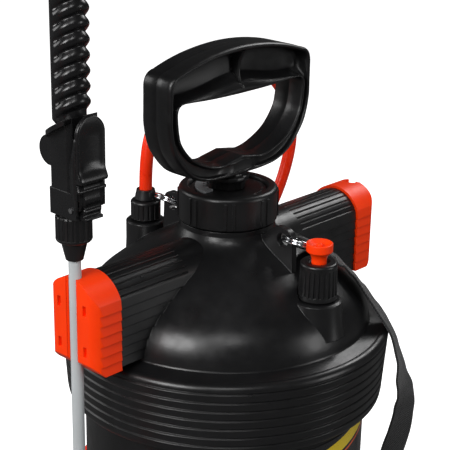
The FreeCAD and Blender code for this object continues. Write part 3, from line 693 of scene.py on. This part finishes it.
def make_trigger():
    """The lever: a dished thumb-wide paddle with a flared lip, over a stepped block that turns on
    the pin."""
    mesh = bmesh.new()
    close_rings(mesh, paddle_rings(mesh))
    for side in (1, -1):
        close_rings(mesh, cheek_rings(mesh, side))
    close_rings(mesh, [rounded_slab(mesh, z, half, front, BLOCK_BACK if z < NECK_Z else NECK_BACK,
                                    0.9) for z, half, front in BLOCK])
    close_rings(mesh, [rounded_slab(mesh, z, half, front, PLATE_BACK, 0.9)
                       for z, half, front in PLATE])
    lever = finished(mesh, "trigger_lever")
    add_object("trigger_lever", lever, "black_gloss", body="trigger", replaces="trigger")


# ---------------------------------------------------------------- hose

HOSE_DIAMETER = 0.0095
HOSE = [(0, 82, 378), (0, 82, 402), (8.5, 82, 427), (30, 82, 448), (64, 82, 460), (102, 82, 458),
        (134.5, 82, 443), (156, 81, 417), (162, 80, 386), (154, 81, 354), (141, 85, 324),
        (129, 96, 292), (117, 111, 258), (97, 127, 224), (66, 140, 190), (30, 148, 158),
        (-8, 149, 130), (-46, 140, 109), (-82, 122, 97), (-117, 98, 93), (-150, 70, 98),
        (-181, 42, 113), (-208, 18, 138), (-229, 3, 171), (-243, -6, 210), (-250, -9, 254),
        (-254, -11, 302), (-257, -11.5, 350), (-259, -10.5, 398), (-260, -8.5, 446),
        (-260, -6, 494), (-259, -3, 540), (-257, 0, 583), (-249, 0, 617), (-228, 0, 640),
        (-197.5, 0, 649), (-167, 0, 641), (-145.5, 0, 619), (-137.5, 0, 590)]


def make_hose():
    """The spray hose, from the outlet round behind the tank and up to the lance's grip."""
    data = bpy.data.curves.new("spray_hose_line", "CURVE")
    data.dimensions = "3D"
    data.bevel_depth = HOSE_DIAMETER / 2
    data.bevel_resolution = 6
    data.resolution_u = 12
    data.use_fill_caps = True
    spline = data.splines.new("NURBS")
    spline.points.add(len(HOSE) - 1)
    for point, spot in zip(spline.points, HOSE):
        point.co = (*(c * MM for c in spot), 1)
    spline.order_u = 3
    spline.use_endpoint_u = True
    hose = add_object("spray_hose_line", data, "hose_red", replaces="spray_hose")


# ---------------------------------------------------------------- harness

WEB_WIDE, WEB_THICK = 20.0, 1.5
LOW_BAR_R, LOW_BAR_Z = 115.5, 42.0
LOW_LOOP_R = 4.7
STRAP = [(22, -60.5, 366), (37, -56, 358), (48, -62, 348.5), (51, -71, 341.5), (52, -80, 334),
         (56, -88, 322), (64, -95, 306), (74, -97, 284), (84, -95, 260), (89, -96, 246),
         (89, -96, 232), (88, -94, 214), (85, -91, 196), (83.5, -87.5, 172), (82, -84, 148),
         (81.67, -81.67, 122), (81.67, -81.67, 90), (81.67, -81.67, 56)]
# Degrees each point of the strap is turned about its own line, from lying flat on the tank
STRAP_TWIST = [51, 30, 8, 2, 5, 8, 6, -6, -27, -41, -55, -64, -68, -50, -22, 0, 0, 0]
STRAP_STEPS = 8
# Half of the webbing's own section: across and through, as shares of its width and thickness
WEB_EDGE = [(0.5, 0), (0.485, 0.5), (0.44, 0.56), (0.36, 0.5), (0.18, 0.5), (0, 0.5)]
RING_MIDDLE = Vector((5.5, -61, 372))
RING_LEAN = Matrix.Rotation(math.radians(24), 3, "Y")
RING_R, RING_WIRE_R, RING_PITCH = 12, 1.1, 2.15
FOLD_R, FOLD_GAP, FOLD_RISE = 3.4, 1.8, 1.07
UP = Vector((0, 0, 1))
LOW_OUT = Vector((1, -1, 0)).normalized()


def low_loop():
    """The end of the strap, round the low bar and back up on itself to its stitches."""
    middle = LOW_OUT * LOW_BAR_R + UP * LOW_BAR_Z
    path = []
    for i in range(25):
        angle = math.radians(150 + i * 10)
        path.append(middle + LOW_LOOP_R * (math.cos(angle) * -LOW_OUT + math.sin(angle) * UP))
    return path + [LOW_OUT * (LOW_BAR_R + 1.9) + UP * z for z in (50, 54, 57, 60)]


def web_profile():
    """The webbing's whole section, once round."""
    profile = WEB_EDGE + [(-a, t) for a, t in reversed(WEB_EDGE[:-1])]
    return profile + [(a, -t) for a, t in reversed(profile[1:-1])]


def ribbon_mesh(name, spots, wides, thicks):
    """A flat band along points in mm, with thin rounded edges, and U across and V along it in
    metres."""
    mesh = bmesh.new()
    uv = mesh.loops.layers.uv.new("web")
    profile = web_profile()
    rings = []
    along = [0.0]
    for a, b in zip(spots, spots[1:]):
        along.append(along[-1] + (b - a).length * MM)
    for spot, across, through in zip(spots, wides, thicks):
        rings.append([mesh.verts.new((spot + across * a * WEB_WIDE + through * t * WEB_THICK) * MM)
                      for a, t in profile])
    count = len(profile)
    for i in range(len(rings) - 1):
        for k in range(count):
            j = (k + 1) % count
            face = mesh.faces.new((rings[i][k], rings[i][j], rings[i + 1][j], rings[i + 1][k]))
            face.smooth = True
            for loop, (m, n) in zip(face.loops, ((i, k), (i, j), (i + 1, j), (i + 1, k))):
                loop[uv].uv = (profile[n][0] * WEB_WIDE * MM, along[m])
    mesh.faces.new(rings[0])
    mesh.faces.new(list(reversed(rings[-1])))
    return finished(mesh, name)


def ring_fold(spots, wides, thicks):
    """The strap's first end: from its stitches, back under the strap and round the ring's wire."""
    wire_at = RING_MIDDLE + RING_LEAN @ Vector((RING_R, 0, FOLD_RISE))
    up = thicks[0] if thicks[0].z > 0 else -thicks[0]
    back = wides[0].cross(up).normalized()
    if back.x > 0:
        back = -back
    path = []
    for k in range(9, 1, -1):
        through = thicks[k] if thicks[k].dot(up) > 0 else -thicks[k]
        path.append(spots[k] - through * FOLD_GAP)
    for degrees in range(165, 10, -15):
        angle = math.radians(degrees)
        path.append(wire_at + FOLD_R * (math.cos(angle) * up + math.sin(angle) * back))
    throughs = []
    for i, spot in enumerate(path):
        after = path[i + 1] if i + 1 < len(path) else spots[0]
        way = (after - path[max(i - 1, 0)]).normalized()
        throughs.append(way.cross(wides[0]).normalized())
    return path, throughs


def twist_at(where):
    """The strap's twist in radians, at a place along its list of points."""
    low = min(int(where), len(STRAP_TWIST) - 2)
    share = ease(where - low, 0, 1)
    return math.radians(STRAP_TWIST[low] * (1 - share) + STRAP_TWIST[low + 1] * share)


def make_strap(name, side):
    """A strap from its ring to the low bar, on the -Y side (1) or mirrored to +Y (-1)."""
    line = smooth_line([Vector(p) for p in STRAP], STRAP_STEPS)
    spots = [spot for spot, _ in line] + low_loop()
    wides, thicks = [], []
    for i, spot in enumerate(spots):
        along = (spots[min(i + 1, len(spots) - 1)] - spots[max(i - 1, 0)]).normalized()
        if i < len(line):
            twist = twist_at(line[i][1])
            outward = Vector((spot.x, spot.y, 40.0))
            outward = (outward - along * outward.dot(along)).normalized()
            across = along.cross(outward)
            wide = (across * math.cos(twist) + outward * math.sin(twist)).normalized()
        wides.append(wide)
        thicks.append(along.cross(wide).normalized())
    fold, throughs = ring_fold(spots, wides, thicks)
    spots, wides, thicks = fold + spots, [wides[0]] * len(fold) + wides, throughs + thicks
    flip = Vector((1, side, 1))
    spots, wides, thicks = ([v * flip for v in row] for row in (spots, wides, thicks))
    return add_object(name, ribbon_mesh(name, spots, wides, thicks), "webbing")


def make_split_ring(name, side, replaces):
    """A split ring: one spring wire wound twice round, flat, with its ends stepped over."""
    data = bpy.data.curves.new(name, "CURVE")
    data.dimensions = "3D"
    data.bevel_depth = RING_WIRE_R * MM
    data.bevel_resolution = 4
    data.use_fill_caps = True
    spline = data.splines.new("POLY")
    steps = 96
    spline.points.add(steps)
    for i in range(steps + 1):
        angle = 4 * math.pi * i / steps - 0.4
        rise = RING_PITCH * ease(i / steps, 0.42, 0.58)
        around = Vector((RING_R * math.cos(angle), RING_R * math.sin(angle), rise))
        spot = RING_LEAN @ around + RING_MIDDLE
        spline.points[i].co = (spot.x * MM, spot.y * MM * side, spot.z * MM, 1)
    return add_object(name, data, "chrome_wire", replaces=replaces)


def make_harness():
    for place_name, side in (("front", 1), ("back", -1)):
        strap = make_strap(f"{place_name}_strap_web", side)
        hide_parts(f"{place_name}_strap")
        make_split_ring(f"{place_name}_split_ring", side, f"{place_name}_strap_ring")


# ---------------------------------------------------------------- surroundings

FLOOR_GLOW = 0.75
FLOOR_WHITE, FLOOR_DIM = (0.9, 0.9, 0.9), (0.12, 0.12, 0.12)
WORLD_FILL = 0.35
WORLD_MIRROR = 0.04
AIM = Vector((0, 0, 0.33))
# Each light: name, place in metres, width, height and power in watts
LIGHTS = [("key", (-1.5, -0.1, 1.15), 0.7, 0.7, 22), ("front", (-0.95, -0.9, 1.65), 0.5, 0.5, 5),
          ("far", (1.35, 0.05, 1.45), 0.6, 0.6, 9), ("rim", (-0.9, 1.5, 0.95), 0.8, 0.8, 7),
          ("side", (0.7, -1.5, 0.6), 0.4, 0.8, 5)]


def area_light(name, at, wide, tall, power):
    data = bpy.data.lights.new(name, "AREA")
    data.shape = "RECTANGLE"
    data.size = wide
    data.size_y = tall
    data.energy = power
    light = bpy.data.objects.new(name, data)
    light.location = at
    light.rotation_euler = (AIM - Vector(at)).to_track_quat("-Z", "Y").to_euler()
    bpy.context.scene.collection.objects.link(light)


def ray_kind(tree):
    """1 for the camera's own rays, and 1 for rays mirrored by something glossy."""
    path = tree.nodes.new("ShaderNodeLightPath")
    return path.outputs["Is Camera Ray"], path.outputs["Is Glossy Ray"]


def make_floor():
    """A white floor with the object's shadow on it, which the glossy plastic hardly mirrors."""
    bpy.ops.mesh.primitive_plane_add(size=60, location=(0, 0, 0))
    floor = bpy.context.object
    floor.name = "floor"
    material, tree, shader = shader_of("floor", FLOOR_WHITE, 0.8, Specular_IOR_Level=0.0)
    camera_ray, _ = ray_kind(tree)
    shader.inputs["Emission Color"].default_value = (1, 1, 1, 1)
    glow = math_node(tree, "MULTIPLY", camera_ray, FLOOR_GLOW)
    tree.links.new(glow, shader.inputs["Emission Strength"])
    tint = mix_color(tree, camera_ray, FLOOR_DIM, FLOOR_WHITE)
    tree.links.new(tint, shader.inputs["Base Color"])
    floor.data.materials.append(material)


def make_world():
    """White to the camera, a soft fill for matt surfaces, and dark in reflections."""
    world = bpy.data.worlds.new("world")
    bpy.context.scene.world = world
    world.use_nodes = True
    tree = world.node_tree
    back = tree.nodes["Background"]
    back.inputs["Color"].default_value = (1, 1, 1, 1)
    camera_ray, glossy_ray = ray_kind(tree)
    fill = spread(tree, glossy_ray, 0, 1, WORLD_FILL, WORLD_MIRROR)
    tree.links.new(math_node(tree, "ADD", fill, camera_ray), back.inputs["Strength"])


MATERIALS = make_materials()
make_camera()
make_hose()
make_handle()
make_grip()
make_trigger()
make_harness()
for node in NODES.values():
    for slot_index, material in enumerate(node.data.materials):
        node.data.materials[slot_index] = MATERIALS[slot_of(material)]
make_floor()
make_world()
for light_row in LIGHTS:
    area_light(*light_row)
bpy.context.scene.view_settings.view_transform = "Standard"
